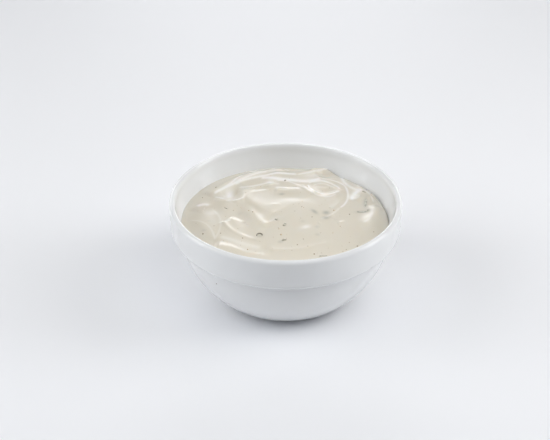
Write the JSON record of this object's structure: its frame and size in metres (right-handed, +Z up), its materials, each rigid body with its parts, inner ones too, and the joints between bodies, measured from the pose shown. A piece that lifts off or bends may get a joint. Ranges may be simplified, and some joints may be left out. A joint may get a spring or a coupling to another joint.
{
  "type": "bowl of tartar sauce",
  "caption": "White porcelain stacking bowl with a stepped collar, filled with herb-flecked tartar sauce swirled by a spoon.",
  "frame": {"origin": "middle of the plane that the foot ring stands on", "axes": "+Z up along the bowl's axis, -Y towards the side that the picture shows"},
  "size_m": [0.12, 0.12, 0.055],
  "materials": {
    "porcelain": "glossy white glaze",
    "sauce": "cream-coloured emulsion with a wet sheen"
  },
  "bodies": {
    "root": {"bowl": "porcelain", "tartar_sauce": "sauce"}
  },
  "joints": []
}
